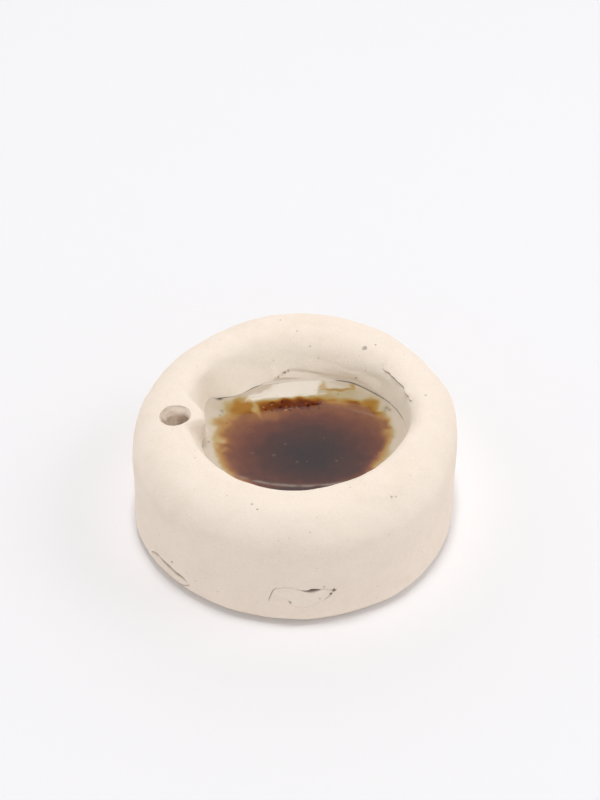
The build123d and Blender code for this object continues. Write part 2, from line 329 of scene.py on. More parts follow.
# Lamps and panels as (name, place, size, brightness), in metres
LAMPS = (
    ("top_lamp", (0.0, 0.03, 1.2), (0.2, 0.2), 49.0),
    ("right_lamp", (0.8, 0.0, 0.8), (0.5, 0.5), 1.7),
)
PANELS = (
    ("white_panel", (0.0516, 0.37, 1.0), (0.068, 0.5), 5.6),
    ("veil_panel", (-0.07, 0.79, 1.0), (0.16, 0.1), 1.0),
    ("corner_panel", (0.094, 0.53, 1.0), (0.012, 0.17), 5.8),
    ("crest_panel", (0.325, -0.2, 1.0), (0.85, 0.5), 3.4),
    ("grey_panel", (-0.0567, 0.3, 1.0), (0.1486, 0.38), 2.2),
)

# Camera of the photograph, with the image in pixels
IMAGE_WIDTH = 600
IMAGE_HEIGHT = 800
FOOT_PIXEL = (295.92, 499.89)  # the middle of the foot in the image
FOCAL_PIXELS = 2063.6
CAMERA_ELEVATION = 45.0
CAMERA_DISTANCE = 351.0
SENSOR = 36.0


def waves(points, wavelength, height, seed, count=18):
    """Smooth random field at points, with lumps about a wavelength across and of about a height."""
    rng = np.random.RandomState(seed)
    direction = rng.normal(size=(count, points.shape[1]))
    direction /= np.linalg.norm(direction, axis=1)[:, None]
    pace = 2 * pi / wavelength * rng.uniform(0.7, 1.4, count)
    phase = rng.uniform(0, 2 * pi, count)
    return height * (np.sqrt(2 / count) * np.cos(points @ (direction * pace[:, None]).T + phase).sum(axis=1))


def between(before, start, end, after, t):
    """Smooth curve from start to end at shares t, led by the values before and after."""
    cubic = 3 * (start - end) + after - before
    square = 2 * before - 5 * start + 4 * end - after
    return start + 0.5 * t * (end - before + t * (square + t * cubic))


def ring_value(values, angle):
    """Smooth closed curve through values spaced evenly round the circle."""
    values = np.asarray(values, float)
    count = len(values)
    place = np.asarray(angle, float) % 360 * count / 360
    first = np.floor(place).astype(int)
    return between(*(values[(first + k) % count] for k in (-1, 0, 1, 2)), place - first)


def smooth_line(points, count):
    """Smooth open curve through points, as count rows."""
    points = np.asarray(points, float)
    padded = np.vstack([2 * points[0] - points[1], points, 2 * points[-1] - points[-2]])
    place = np.linspace(0, len(points) - 1, count)
    first = np.minimum(place.astype(int), len(points) - 2)
    return between(*(padded[first + k] for k in range(4)), (place - first)[:, None])


def ease(value, start, end):
    """0 before start, 1 after end, smooth between."""
    t = np.clip((value - start) / (end - start), 0, 1)
    return t * t * (3 - 2 * t)


def turn_from(angle, centre):
    """Signed angle from centre, within half a turn, in degrees."""
    return (np.asarray(angle) - centre + 180) % 360 - 180


def bell(value, width):
    return np.exp(-((value / width) ** 2))


def hump(angle, height, middle, width):
    return height * bell(turn_from(angle, middle), width)


def outward(angle):
    """Unit directions out of the axis at angles in degrees, as rows."""
    turn = np.radians(angle)
    return np.stack([np.cos(turn), np.sin(turn)], axis=-1)


def polar(points, centre=(0.0, 0.0)):
    """Angles in degrees and radii of plan points about a centre."""
    off = points[..., :2] - centre
    return np.degrees(np.arctan2(off[..., 1], off[..., 0])), np.hypot(off[..., 0], off[..., 1])


def wall_radius(angle, height):
    """Radius of the drum's outer wall, which rounds in under itself at the foot."""
    turn = np.radians(angle)
    plan = 1.0
    for count, cosine, sine in PLAN_WAVES:
        plan = plan + cosine * np.cos(count * turn) + sine * np.sin(count * turn)
    bulge = hump(angle, *SIDE_BULGE) * height / RIM_HEIGHT
    under = np.clip(FOOT_ROUND - height, 0, FOOT_ROUND)
    rounded = FOOT_ROUND - np.sqrt(FOOT_ROUND**2 - under**2)
    return DRUM_RADIUS * plan * (1 + FOOT_FLARE * (1 - height / RIM_HEIGHT)) + bulge - rounded


def lip_wall(angle):
    start, full, slack, end = (turn_from(edge, HOLE_ANGLE) for edge in LIP_PINCH_SPAN)
    place = turn_from(angle, HOLE_ANGLE)
    push = ease(place, start, full) * (1 - ease(place, slack, end))
    return ring_value(LIP_WALL, angle) - LIP_PINCH * push


def pool_wall(angle):
    return ring_value(POOL_WALL, angle) - hump(angle, *POOL_PINCH)


def wall_lean(angle):
    """Lean of the dish's wall, in degrees: it runs from the lip's rounding to the glass."""
    rounding = ring_value(LIP_ROUND, angle)
    out = lip_wall(angle) + rounding - pool_wall(angle)
    up = RIM_HEIGHT - rounding - WATERLINE
    return np.degrees(np.arccos(rounding / np.hypot(out, up)) - np.arctan2(up, out))


def dish_wall(angle, height):
    """Radius of the dish's wall about the dish's centre, between its lip and the glass."""
    over = np.interp(turn_from(angle, 90) + 90, *zip(*RIDGE_LINE))
    step = RIDGE_STEP * ease(height - over, -RIDGE_SOFT, RIDGE_SOFT) * ease(over - WATERLINE, 0, RIDGE_START)
    fade = 1 - ease(height - over, *RIDGE_FADE)
    return pool_wall(angle) + np.tan(np.radians(wall_lean(angle))) * (height - WATERLINE) - step * fade


def rim_top(plan):
    """Height of the rim at plan points: level, and rounded down to the outer wall and to the dish."""
    angle, radius = polar(plan)
    outer = np.clip(RIM_ROUND - (wall_radius(angle, RIM_HEIGHT) - radius), 0, RIM_ROUND)
    height = RIM_HEIGHT - RIM_ROUND + np.sqrt(RIM_ROUND**2 - outer**2)
    angle, radius = polar(plan, DISH_CENTRE)
    rounding = ring_value(LIP_ROUND, angle)
    inner = np.clip(rounding - (radius - lip_wall(angle)), 0, rounding)
    return height - rounding + np.sqrt(rounding**2 - inner**2)


def on_rim(plan):
    return np.column_stack([plan, rim_top(plan)])


def hand_formed(points):
    """Points moved by the unevenness of hand-formed clay. The foot stays flat."""
    moved = points.copy()
    hold = ease(points[:, 2], 0, LUMP_FADE)
    for wavelength, height, seed in CLAY_LUMPS:
        for axis in range(3):
            lump = waves(points, wavelength, height, seed + axis)
            moved[:, axis] += lump * hold if axis == 2 else lump
    return moved


def plan_ring(radius, height, angle, centre=(0.0, 0.0)):
    """Ring of points at radii and heights about an upright axis."""
    plan = np.asarray(centre) + outward(angle) * np.broadcast_to(radius, angle.shape)[:, None]
    return np.column_stack([plan, np.broadcast_to(height, angle.shape)])


def numbered(rows, columns):
    return np.arange(rows * columns).reshape(rows, columns)


def ring_faces(index):
    """Quads between neighbouring closed rings of point numbers, as rows by columns by corners."""
    ahead = np.roll(index, -1, axis=1)
    return np.stack([index[:-1], ahead[:-1], ahead[1:], index[1:]], axis=-1)


def fan(ring, middle):
    """Triangles between a ring of point numbers and a point in its middle."""
    return [[middle, here, there] for here, there in zip(ring, np.roll(ring, -1))]


def capped(rings):
    """Points and faces of a closed form of stacked rings, with a point in the middle of each end."""
    rings = np.asarray(rings)
    rows, columns = rings.shape[:2]
    points = np.vstack([rings.reshape(-1, 3), rings[0].mean(axis=0), rings[-1].mean(axis=0)])
    index = numbered(rows, columns)
    faces = ring_faces(index).reshape(-1, 4).tolist()
    return points, faces + fan(index[0][::-1], index.size) + fan(index[-1], index.size + 1)


def add_piece(name, points, faces, slot, material, **fields):
    """Piece for the CAD node of its name, with fields on its mesh for the material."""
    mesh = bpy.data.meshes.new(name)
    mesh.from_pydata((points * MM).tolist(), [], faces)
    mesh.update()
    mesh.polygons.foreach_set("use_smooth", np.ones(len(mesh.polygons), bool))
    mesh.set_sharp_from_angle(angle=radians(SHARP_ANGLE))
    for field, values in fields.items():
        attribute = mesh.attributes.new(field, "FLOAT", "POINT")
        attribute.data.foreach_set("value", np.asarray(values, np.float32))
    mesh.materials.append(material)
    piece = bpy.data.objects.new(name, mesh)
    bpy.context.scene.collection.objects.link(piece)
    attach(piece, "root")
    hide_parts(name)


def seam_outline(bottom, top, spread):
    """Closed outline of a scrap, widened by its seam times spread."""
    loop = np.vstack([smooth_line(bottom, OUTLINE_POINTS), smooth_line(top, OUTLINE_POINTS)[::-1]])
    along = np.roll(loop[:, :2], -1, axis=0) - np.roll(loop[:, :2], 1, axis=0)
    out = np.column_stack([along[:, 1], -along[:, 0]])
    out /= np.maximum(np.linalg.norm(out, axis=1), 1e-9)[:, None]
    return loop[:, :2] + out * loop[:, 2:] * spread


def outline_distance(flat, outline):
    """Distance of flat points to a closed outline, negative inside, and the nearest points on it."""
    start = outline[None]
    step = np.roll(outline, -1, axis=0)[None] - start
    size = np.maximum((step**2).sum(axis=-1), 1e-12)
    share = np.clip(((flat[:, None] - start) * step).sum(axis=-1) / size, 0, 1)
    foot = start + share[..., None] * step
    gap = np.linalg.norm(flat[:, None] - foot, axis=-1)
    best = gap.argmin(axis=1)
    rows = np.arange(len(flat))
    above = (start[..., 1] > flat[:, None, 1]) != (start[..., 1] + step[..., 1] > flat[:, None, 1])
    rise = np.where(np.abs(step[..., 1]) > 1e-12, step[..., 1], 1e-12)
    cross = start[..., 0] + (flat[:, None, 1] - start[..., 1]) * step[..., 0] / rise
    inside = (above & (flat[:, None, 0] < cross)).sum(axis=1) % 2 == 1
    return np.where(inside, -1, 1) * gap[rows, best], foot[rows, best]


def on_wall(flat, middle, depth):
    """Points of the drum's wall from distances along it and heights, sunk by a depth."""
    angle = middle + np.degrees(flat[:, 0] / DRUM_RADIUS)
    return plan_ring(wall_radius(angle, flat[:, 1]) - depth, flat[:, 1], angle)


def press_seat(angle, height, middle, outline, cell):
    """Wall points near a seat's edge drawn onto it, and the depth of those inside it."""
    flat = np.column_stack([np.radians(turn_from(angle, middle)) * DRUM_RADIUS, height])
    low, high = outline.min(axis=0) - cell, outline.max(axis=0) + cell
    close = np.flatnonzero(((flat > low) & (flat < high)).all(axis=1))
    distance, nearest = outline_distance(flat[close], outline)
    edge = np.abs(distance) < cell / 2
    flat[close[edge]] = nearest[edge]
    depth = np.zeros(len(flat))
    depth[close[(distance < 0) & ~edge]] = SEAT_DEPTH
    touched = close[edge]
    angle, height = angle.copy(), height.copy()
    angle[touched] = middle + np.degrees(flat[touched, 0] / DRUM_RADIUS)
    height[touched] = flat[touched, 1]
    return angle, height, depth


def wall_rings(angles):
    """Rings of the outer wall with the scraps' seats, and how deep their points are sunk."""
    heights = np.concatenate([SCRAP_ROWS, UPPER_ROWS])
    angle = np.tile(angles, len(heights))
    height = np.repeat(heights, len(angles))
    depth = np.zeros(len(angle))
    for middle, bottom, top in (SCRAP, STRIP):
        outline = seam_outline(bottom, top, 1.0)
        angle, height, sunk = press_seat(angle, height, middle, outline, SCRAP_ROW)
        depth = np.maximum(depth, sunk)
    points = plan_ring(wall_radius(angle, height) - depth, height, angle)
    return points.reshape(len(heights), len(angles), 3), depth.reshape(len(heights), len(angles))


def hang_flap(rings, angles):
    """The lip's rings drawn in over the dish at the flap, with a slit under its edge, and the painted shade
    inside that slit.
    """
    ragged = sum(waves(angles[:, None], *rag) for rag in FLAP_RAGS)
    here = ease(turn_from(angles, FLAP_START), 0, FLAP_TAPER)
    here = here * ease(turn_from(FLAP_END, angles), 0, FLAP_TAPER)
    taper = ease(here, 0.2, 1.0)[:, None]
    inward = -np.column_stack([outward(angles), np.zeros(len(angles))])
    reach = (FLAP_REACH * (1 + 0.5 * ragged) * here)[:, None] * inward
    last = len(rings) - 1
    edge = round((90 - FLAP_TURN) / 90 * last)
    for row in range(edge + 1):
        rings[row] += reach * ease(row, 1, edge)
    shade = np.zeros((len(rings), len(angles)))
    for row, (cut, drop) in enumerate(FLAP_ROWS, 1):
        target = rings[edge] - (inward * cut + np.array((0, 0, drop))) * (0.1 + 0.9 * taper)
        rings[edge + row] += (target - rings[edge + row]) * here[:, None]
        # Painted shade inside the slit under the flap
        shade[edge + row] = taper[:, 0] if cut == FLAP_CUT else 0
    ledge = edge + len(FLAP_ROWS)
    for row in range(ledge + 1, last):
        share = (row - ledge) / (last - ledge)
        target = rings[ledge] * (1 - share) + rings[last] * share
        rings[row] += (target - rings[row]) * here[:, None]
    return rings, shade


def rim_rings(angles):
    """Rings of the rim's outer rounding, and of its level part in to the dish's lip."""
    rings = []
    for turn in np.radians(np.linspace(0, 90, RIM_ROWS)):
        height = RIM_HEIGHT - RIM_ROUND + RIM_ROUND * sin(turn)
        rings.append(plan_ring(wall_radius(angles, height) - RIM_ROUND * (1 - cos(turn)), height, angles))
    lip = plan_ring(lip_wall(angles) + ring_value(LIP_ROUND, angles), RIM_HEIGHT, angles, DISH_CENTRE)
    for share in LEVEL_SHARES:
        rings.append(on_rim((rings[-1] * (1 - share) + lip * share)[:, :2]))
    return rings


def lip_rings(angles):
    """Rings of the lip's rounding, from the level of the rim to the dish's wall."""
    rounding = ring_value(LIP_ROUND, angles)
    rings = []
    for share in np.linspace(0, 1, LIP_ROWS):
        turn = np.radians(90 + (wall_lean(angles) - 90) * share)
        radius = lip_wall(angles) + rounding * (1 - np.cos(turn))
        height = RIM_HEIGHT - rounding * (1 - np.sin(turn))
        rings.append(plan_ring(radius, height, angles, DISH_CENTRE))
    return rings


def floor_rings(edge, floor, width):
    """Rings that round off from an edge in the dish to a level floor, and one more near its middle."""
    middle = np.append(DISH_CENTRE, floor)
    rings = []
    for turn in np.radians(FLOOR_TURNS):
        ring = middle + (edge - middle) * np.array((1, 1, 1 - sin(turn)))
        ring[:, :2] = DISH_CENTRE + (edge[:, :2] - DISH_CENTRE) * (width - FLOOR_ROUND * (1 - cos(turn)))
        rings.append(ring)
    rings.append(middle + (rings[-1] - middle) * FLOOR_MIDDLE)
    return rings


def body_rings(angles):
    """Rings of the clay body from its foot over its rim to the dish's floor, with their painted shade, and
    the strength of the pale glaze coat that is partly painted light.
    """
    foot = wall_radius(angles, 0)
    rings = [plan_ring(foot * share, 0, angles) for share in FOOT_SHARES]
    rings += [plan_ring(wall_radius(angles, height), height, angles) for height in FOOT_ROWS]
    wall_row = len(rings)
    wall, depth = wall_rings(angles)
    rings += [*wall, *rim_rings(angles)]
    lip_row = len(rings)
    lip, slit = hang_flap(lip_rings(angles), angles)
    rings += lip
    top = lip[-1][:, 2]
    for share in np.linspace(0, 1, DISH_ROWS)[1:]:
        height = top * (1 - share) + FILM_BOTTOM * share
        rings.append(plan_ring(dish_wall(angles, height), height, angles, DISH_CENTRE))
    rings += floor_rings(rings[-1], DISH_FLOOR, 1.0)
    shade = np.zeros((len(rings), len(angles)))
    # Painted shade in the scraps' seats, by how deep their points are sunk
    shade[wall_row:wall_row + len(wall)] = depth / SEAT_DEPTH
    shade[lip_row:lip_row + len(lip)] = slit
    film_and_light = ease(np.arange(len(rings)) - lip_row, FILM_ROW, len(lip) - 1)
    return np.array(rings), shade, np.outer(film_and_light, FILM_THIN + hump(angles, *PAINTED_LIGHT_RIGHT))


def hole_mouth(turn):
    """Radius of the hole's worn mouth at angles in degrees about the hole."""
    wave = sum(height * np.cos(np.radians(count * turn + phase)) for count, height, phase in MOUTH_WAVES)
    return HOLE_RADIUS + MOUTH_WEAR + wave + hump(turn, *MOUTH_SIDE)


def torn_bore(turn, depth):
    """Radius of the hole under its mouth: torn clay, with a crest and a hollow in its far side."""
    spot = np.column_stack([outward(turn) * HOLE_RADIUS, depth])
    rough = np.abs(waves(spot, *BORE_DENTS)) + waves(spot, *BORE_GRAIN)
    crest = hump(turn - CREST_WIND * depth, *BORE_CREST) * ease(depth, *CREST_DEPTHS)
    hollow = hump(turn, *BORE_HOLLOW) * ease(depth, *HOLLOW_DEPTHS)
    lean = BORE_LEAN * np.minimum(depth, LEAN_DEPTH) * np.clip(np.sin(np.radians(turn)), 0, 1)
    return HOLE_RADIUS + BORE_ROOM + rough - crest + hollow - lean


def hole_rings(loop):
    """Rings from a loop on the rim in to the hole's mouth and down its bore."""
    turn, _ = polar(loop, HOLE_CENTRE)
    mouth = HOLE_CENTRE + outward(turn) * hole_mouth(turn)[:, None]
    rings = []
    for share in MOUTH_SHARES:
        rings.append(on_rim(loop[:, :2] * (1 - share) + mouth * share))
    level = rings[-1][:, 2]
    for depth in BORE_ROWS:
        worn = (1 - ease(depth, 0, MOUTH_DEPTH)) ** 2
        radius = hole_mouth(turn) * worn + torn_bore(turn, np.full(len(turn), depth)) * (1 - worn)
        plan = HOLE_CENTRE + outward(turn) * radius[:, None]
        settle = ease(depth, 0, LEVEL_DEPTH)
        rings.append(np.column_stack([plan, level * (1 - settle) + RIM_HEIGHT * settle - depth]))
    return np.array(rings)


def clay_body(material):
    """Drum with its dish, hole and seats: stacked rings, with a window on the rim for the hole."""
    rings, shade, film_and_light = body_rings(BODY_COLUMNS)
    rows, columns = rings.shape[:2]
    near = np.flatnonzero(np.abs(turn_from(BODY_COLUMNS, HOLE_ANGLE)) < WINDOW_ANGLE)
    first, last = near[0], near[-1]
    _, radius = polar(rings[:, near[len(near) // 2]])
    upper = rings[:, first, 2] > RIM_HEIGHT - WINDOW_DROP
    reach = hypot(*HOLE_CENTRE)
    outer = np.flatnonzero(upper & (radius > reach + HOLE_RADIUS + WINDOW_ROOM))[-1]
    inner = np.flatnonzero(upper & (radius < reach - HOLE_RADIUS - WINDOW_ROOM))[0]
    index = numbered(rows, columns)
    loop = np.concatenate([
        index[outer, first:last],
        index[outer:inner, last],
        index[inner, last:first:-1],
        index[inner:outer:-1, first],
    ])
    keep = np.ones((rows - 1, columns), bool)
    keep[outer:inner, first:last] = False
    faces = ring_faces(index)[keep].tolist()
    points = rings.reshape(-1, 3)
    bore = hole_rings(points[loop])
    steps = np.vstack([loop, len(points) + numbered(len(bore), len(loop))])
    faces += ring_faces(steps).reshape(-1, 4).tolist()
    points = np.vstack([points, bore.reshape(-1, 3)])
    caps = ((index[0][::-1], rings[0]), (index[-1], rings[-1]), (steps[-1], bore[-1]))
    for ring, places in caps:
        faces += fan(ring, len(points))
        points = np.vstack([points, places.mean(axis=0)])
    used = np.unique(np.concatenate([np.ravel(face) for face in faces]))
    renumber = np.full(len(points), -1)
    renumber[used] = np.arange(len(used))
    faces = [renumber[face].tolist() for face in faces]
    added = (0, len(points) - shade.size)
    fields = {"shade": np.pad(shade.ravel(), added)[used], "film_and_light": np.pad(film_and_light.ravel(), added)[used]}
    add_piece("clay_body", hand_formed(points[used]), faces, "stoneware", material, **fields)


def pressed_scrap(name, middle, bottom, top, proud, material):
    """Scrap of clay in the wall: a slab between its two edges with rolled borders."""
    columns, rows = SCRAP_GRID
    lower = smooth_line(bottom, columns)[:, None, :2]
    upper = smooth_line(top, columns)[:, None, :2]
    share = np.linspace(0, 1, rows)[None, :, None]
    flat = (lower * (1 - share) + upper * share).reshape(-1, 2)
    distance, nearest = outline_distance(flat, seam_outline(bottom, top, 0.0))
    _, seam = outline_distance(nearest, seam_outline(bottom, top, 1.0))
    open_seam = np.linalg.norm(nearest - seam, axis=1)
    roll = np.clip(1 - np.abs(distance) / SCRAP_ROLL, 0, 1) ** 2
    uneven = waves(np.column_stack([flat, flat[:, 0]]), *SCRAP_WAVER)
    sink = (ROLL_SINK + SEAM_SINK * open_seam) * roll
    front = on_wall(flat, middle, sink - proud - uneven * (1 - roll))
    back = on_wall(flat, middle, np.full(len(flat), SEAT_DEPTH - SEAT_GAP))
    index = numbered(columns, rows)
    quads = np.stack([index[:-1, :-1], index[1:, :-1], index[1:, 1:], index[:-1, 1:]], axis=-1).reshape(-1, 4)
    border = np.concatenate([index[:-1, 0], index[-1, :-1], index[:0:-1, -1], index[0, :0:-1]])
    ahead = np.roll(border, -1)
    behind = len(flat)
    sides = np.column_stack([ahead, border, border + behind, ahead + behind])
    faces = np.vstack([quads, quads[:, ::-1] + behind, sides]).tolist()
    points = hand_formed(np.vstack([front, back]))
    # Painted shade: the rolled border darkens by its open seam and along every edge, and the scrap's back in
    # its seat is fully shaded
    seam_shade = np.minimum(SEAM_SHADE * open_seam, MOST_SHADE)
    rim_shade = np.maximum(seam_shade * roll**2, EDGE_SHADE * roll)
    shade = np.concatenate([rim_shade, np.ones(len(flat))])
    add_piece(name, points, faces, "stoneware", material, shade=shade)


def open_gap(angle):
    """How far the glass has come away from the wall: up to 1 at the back left and right, 0 elsewhere."""
    gaps = []
    for first, rise, last, fall, strength in OPEN_GAPS:
        inside = ease(turn_from(angle, first), 0, rise) * (1 - ease(turn_from(angle, last), 0, fall))
        gaps.append(strength * inside)
    return np.maximum(*gaps)


def glass_edge(angle):
    """Radius at which the glass ends: set into the wall, or apart from it by a thin gap."""
    return pool_wall(angle) + GLASS_INSET - GAP_STEP * ease(open_gap(angle), 0, 0.5)


def past_swell(across, along):
    """Distance past the line of the front swell, from the dish's centre, and the swell's strength there."""
    return SWELL_PLACE + SWELL_BEND * across**2 - along, 1 - ease(np.abs(across), *SWELL_REACH)


def pool_height(angle, radius):
    """Height of the glass: a bowl that swells up at the front and curls up at its edge."""
    share = radius / ring_value(BOWL_WALL, angle)
    bowl = POOL_RISE * share**4
    curl = CURL_RISE * np.clip((share - CURL_START) / (1 - CURL_START), 0, None) ** 2
    across, along = (outward(angle) * np.asarray(radius)[..., None]).T
    past, strength = past_swell(across, along)
    swell = SWELL_HEIGHT * ease(past, -SWELL_WIDTH, SWELL_WIDTH) * strength
    return WATERLINE - POOL_RISE + bowl + curl + swell


def fleck_marks():
    """Flecks as amber marks, scattered about their line."""
    rng = np.random.RandomState(FLECK_SEED)
    marks = []
    for count, depth in FLECKS:
        for share in rng.uniform(0, 1, count):
            place = FLECK_LINE[0] * (1 - share) + FLECK_LINE[1] * share + rng.normal(0, FLECK_SCATTER, 2)
            half = rng.uniform(*FLECK_HALF_SIZES, 2)
            marks.append((place, half, rng.uniform(0, 180), depth))
    return marks


def amber_depth(points):
    """How deep the amber is at points of the glass, from 0 in the pale border to its full depth."""
    angle, radius = polar(points, DISH_CENTRE)
    off = points[:, :2] - DISH_CENTRE
    for waver in AMBER_WAVER:
        radius = radius + waves(off, *waver)
    edge, brown = ring_value(AMBER_EDGE, angle), ring_value(AMBER_BROWN, angle)
    inner = AMBER_SHALLOW + AMBER_CORE * bell(np.linalg.norm((off - CORE_PLACE) / CORE_WIDTH, axis=1), 1)
    depth = AMBER_FRINGE * (1 - ease(radius, brown + FRINGE_START, edge))
    depth = depth + (inner - AMBER_FRINGE) * (1 - ease(radius - brown, *BROWN_BLEND))
    wander = np.column_stack([waves(off, *waver) for waver in MARK_WAVER])
    for place, half, turn, mark_depth in (*AMBER_MARKS, *fleck_marks()):
        along = outward(turn)
        across = np.array((-along[1], along[0]))
        from_mark = off + wander - np.array(place)
        share = np.hypot(from_mark @ along / half[0], from_mark @ across / half[1])
        weight = MARK_STRENGTH * np.exp(-(share**3))
        depth = depth * (1 - weight) + mark_depth * weight
    return depth


def glass_marks(points, marks):
    """Small round marks in the glass: 1 in the middle of a mark, 0 away from them."""
    off = points[:, :2] - DISH_CENTRE
    return np.max([bell(np.linalg.norm(off - place, axis=1), radius) for place, radius in marks], axis=0)


def glass_gap_shade_and_spots(points):
    """Painted shade on the glass along the open gaps round it and in a blot at the left one's end, and the
    glass's own dull spots.
    """
    angle, radius = polar(points, DISH_CENTRE)
    past_edge = radius - glass_edge(angle)
    line = open_gap(angle) * ease(past_edge, *GAP_LINE)
    blot = hump(angle, *GAP_BLOT) * ease(past_edge, *BLOT_LINE)
    return np.maximum(np.maximum(line, blot), SPOT_STRENGTH * glass_marks(points, GLASS_SPOTS))


def glass_reflection_and_nicks(points):
    """Painted reflection as a pale line on the front swell of the glass, and the glass's own pale nicks in
    its middle.
    """
    off = points[:, :2] - DISH_CENTRE
    past, strength = past_swell(*off.T)
    uneven = np.clip(REFLECTION_LEVEL + waves(off, *REFLECTION_WAVER), 0, 1)
    reflection_and_nicks = bell(past - REFLECTION_PLACE, REFLECTION_WIDTH) * strength * uneven
    return np.maximum(reflection_and_nicks, NICK_STRENGTH * glass_marks(points, GLASS_NICKS))


def glass_fields(points):
    return {"amber": amber_depth(points), "gap_shade_and_spots": glass_gap_shade_and_spots(points), "reflection_and_nicks": glass_reflection_and_nicks(points)}


def glass_ring(share_of_amber, share_of_border):
    """Ring of the pool's surface, by its share of the amber's radius and then of the pale border."""
    edge = glass_edge(GLASS_COLUMNS)
    inner = np.minimum(ring_value(AMBER_EDGE, GLASS_COLUMNS), edge - AMBER_BORDER)
    radius = inner * share_of_amber + (edge - inner) * share_of_border
    return plan_ring(radius, pool_height(GLASS_COLUMNS, radius), GLASS_COLUMNS, DISH_CENTRE)


def lens_ring(share, drop):
    """Ring of the amber lens's underside."""
    ring = glass_ring(share, 0)
    ring[:, 2] -= LENS_DEPTH * (1 - share**2) + drop
    return ring


def amber_glaze(material):
    under = [lens_ring(share, 0) for share in LENS_SHARES]
    over = [glass_ring(share, 0) for share in AMBER_SHARES]
    points, faces = capped(under + over)
    add_piece("amber_glaze", points, faces, "amber", material, **glass_fields(points))


def celadon_glaze(material):
    outside = floor_rings(glass_ring(1, 1), DISH_FLOOR + FLOOR_GAP, CELADON_WIDTH)
    over = [glass_ring(1, share) for share in BORDER_SHARES]
    under = [lens_ring(share, LENS_GAP) for share in LENS_SHARES[::-1]]
    points, faces = capped(outside[::-1] + over + under)
    add_piece("celadon_glaze", points, faces, "celadon", material, **glass_fields(points))


class Nodes:
    """Shorthand for building a node tree."""

    def __init__(self, tree):
        self.tree = tree
        tree.nodes.clear()

    def add(self, kind, settings=None, **inputs):
        node = self.tree.nodes.new(kind)
        for name, value in (settings or {}).items():
            setattr(node, name, value)
        for name, value in inputs.items():
            self.put(node, name.replace("_", " "), value)
        return node

    def put(self, node, name, value):
        socket = node.inputs[int(name)] if name.isdigit() else node.inputs[name]
        if isinstance(value, bpy.types.NodeSocket):
            self.tree.links.new(value, socket)
        else:
            socket.default_value = value

    def math(self, operation, first, second=0.0):
        node = self.add("ShaderNodeMath", {"operation": operation})
        self.put(node, "0", first)
        self.put(node, "1", second)
        return node.outputs[0]

    def blend(self, share, first, second, how="MIX"):
        node = self.add("ShaderNodeMix", {"data_type": "RGBA", "blend_type": how})
        self.put(node, "0", share)
        self.put(node, "6", first)
        self.put(node, "7", second)
        return node.outputs[2]

    def ramp(self, value, stops):
        """Colour scale through stops of (place, colour or grey)."""
        node = self.add("ShaderNodeValToRGB")
        self.put(node, "Fac", value)
        elements = node.color_ramp.elements
        while len(elements) < len(stops):
            elements.new(1.0)
        for element, (place, colour) in zip(elements, stops):
            element.position = place
            element.color = (*colour, 1.0) if np.ndim(colour) else (colour, colour, colour, 1.0)
        return node.outputs["Color"]

    def noise(self, place, scale, detail=2.0, rough=0.5):
        node = self.add("ShaderNodeTexNoise", Vector=place, Scale=scale, Detail=detail, Roughness=rough)
        return node.outputs["Fac"]

    def millimetres(self):
        """The object's own coordinates, in millimetres."""
        place = self.add("ShaderNodeTexCoord").outputs["Object"]
        scale = (1 / MM, 1 / MM, 1 / MM)
        return self.add("ShaderNodeMapping", Vector=place, Scale=scale).outputs["Vector"]

    def field(self, name):
        return self.add("ShaderNodeAttribute", {"attribute_name": name}).outputs["Fac"]

    def specks(self, place, scale, size, share):
        """Small round specks in some of the cells of a scatter: 1 in a speck, 0 elsewhere."""
        cells = self.add("ShaderNodeTexVoronoi", Vector=place, Scale=scale, Randomness=1.0)
        draw = self.add("ShaderNodeSeparateColor", Color=cells.outputs["Color"])
        reach = self.math("MULTIPLY", self.math("ADD", draw.outputs[1], 0.35), size * scale)
        inside = self.math("LESS_THAN", cells.outputs["Distance"], reach)
        return self.math("MULTIPLY", inside, self.math("LESS_THAN", draw.outputs[0], share))

    def speckled(self, colour, place, specks):
        """Colour with several kinds of specks strewn over it."""
        for scale, size, share, strength, tone in specks:
            mark = self.math("MULTIPLY", self.specks(place, scale, size, share), strength)
            colour = self.blend(mark, colour, (*tone, 1.0))
        return colour

    def pits(self, place, points, sizes):
        """Pits at points, with uneven edges: a pit's darkness inside it, 0 elsewhere."""
        stir = self.add("ShaderNodeTexNoise", Vector=place, Scale=2.5, Detail=1.0)
        shift = self.add("ShaderNodeVectorMath", {"operation": "MULTIPLY_ADD"})
        for socket, value in zip("012", (stir.outputs["Color"], (PIT_STIR, PIT_STIR, PIT_STIR), place)):
            self.put(shift, socket, value)
        found = None
        for point, (radius, darkness) in zip(points, sizes):
            gap = self.add("ShaderNodeVectorMath", {"operation": "DISTANCE"})
            self.put(gap, "0", shift.outputs[0])
            self.put(gap, "1", tuple(point + PIT_STIR / 2))
            share = self.math("DIVIDE", gap.outputs["Value"], radius)
            fade = self.ramp(share, ((0.55, darkness), (1.0, 0.0)))
            found = fade if found is None else self.math("MAXIMUM", found, fade)
        return found

    def bump(self, height, distance, normal=None):
        node = self.add("ShaderNodeBump", Height=height, Distance=distance * MM, Strength=1.0)
        if normal is not None:
            self.put(node, "Normal", normal)
        return node.outputs["Normal"]

    def surface(self, **inputs):
        shader = self.add("ShaderNodeBsdfPrincipled", **inputs)
        self.add("ShaderNodeOutputMaterial", Surface=shader.outputs[0])


def new_material(name):
    material = bpy.data.materials.new(name)
    material.use_nodes = True
    return material, Nodes(material.node_tree)


